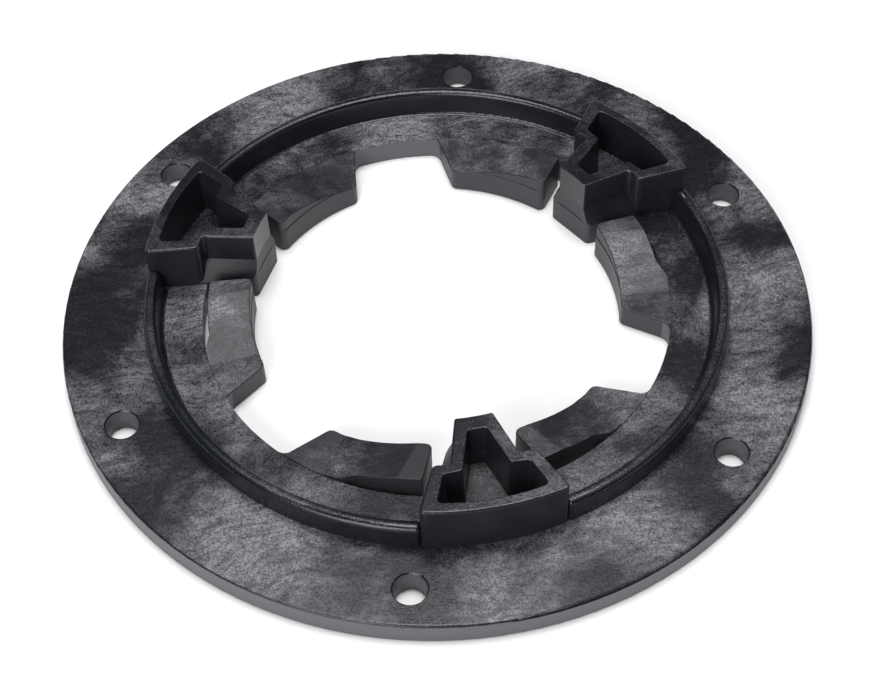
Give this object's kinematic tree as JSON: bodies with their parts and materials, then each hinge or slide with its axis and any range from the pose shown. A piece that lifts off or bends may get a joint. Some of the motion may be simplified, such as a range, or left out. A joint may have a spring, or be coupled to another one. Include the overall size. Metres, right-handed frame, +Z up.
{
  "type": "floor machine drive plate",
  "caption": "Round moulded plastic plate with a bolt-circle flange, a low rim, three hollow drive lugs and ramped fingers around an open centre.",
  "frame": {"origin": "centre of the underside", "axes": "+Z up out of the lug side, -Y along the first lug"},
  "size_m": [0.1968, 0.1968, 0.0208],
  "materials": {
    "black_plastic": "satin fibre-filled moulding with cloudy grey streaks"
  },
  "bodies": {
    "plate": {"mounting_flange": "black_plastic", "rim_segment_1": "black_plastic", "rim_segment_2": "black_plastic", "rim_segment_3": "black_plastic", "lug_housing_1": "black_plastic", "lug_housing_2": "black_plastic", "lug_housing_3": "black_plastic", "lug_foot_1": "black_plastic", "lug_foot_2": "black_plastic", "lug_foot_3": "black_plastic", "finger_root_1": "black_plastic", "finger_root_2": "black_plastic", "finger_root_3": "black_plastic", "finger_root_4": "black_plastic", "finger_root_5": "black_plastic", "finger_root_6": "black_plastic"},
    "finger_1": {"drive_finger_1": "black_plastic"},
    "finger_2": {"drive_finger_2": "black_plastic"},
    "finger_3": {"drive_finger_3": "black_plastic"},
    "finger_4": {"drive_finger_4": "black_plastic"},
    "finger_5": {"drive_finger_5": "black_plastic"},
    "finger_6": {"drive_finger_6": "black_plastic"}
  },
  "joints": [
    {"name": "finger_1_bend", "type": "hinge", "parent": "plate", "child": "finger_1", "pos_m": [-0.02995, -0.04613, 0.004], "axis": [0.5446, 0.8387, 0], "range_deg": [-0.5, 2], "stiffness_Nm_per_rad": 20},
    {"name": "finger_2_bend", "type": "hinge", "parent": "plate", "child": "finger_2", "pos_m": [0.02995, -0.04613, 0.004], "axis": [0.5446, -0.8387, 0], "range_deg": [-0.5, 2], "stiffness_Nm_per_rad": 20},
    {"name": "finger_3_bend", "type": "hinge", "parent": "plate", "child": "finger_3", "pos_m": [0.05493, -0.00288, 0.004], "axis": [-0.9986, 0.0523, 0], "range_deg": [-0.5, 2], "stiffness_Nm_per_rad": 20},
    {"name": "finger_4_bend", "type": "hinge", "parent": "plate", "child": "finger_4", "pos_m": [0.02497, 0.049, 0.004], "axis": [0.454, 0.891, 0], "range_deg": [-0.5, 2], "stiffness_Nm_per_rad": 20},
    {"name": "finger_5_bend", "type": "hinge", "parent": "plate", "child": "finger_5", "pos_m": [-0.02497, 0.049, 0.004], "axis": [0.454, -0.891, 0], "range_deg": [-0.5, 2], "stiffness_Nm_per_rad": 20},
    {"name": "finger_6_bend", "type": "hinge", "parent": "plate", "child": "finger_6", "pos_m": [-0.05493, -0.00288, 0.004], "axis": [-0.9986, -0.0523, 0], "range_deg": [-0.5, 2], "stiffness_Nm_per_rad": 20}
  ]
}
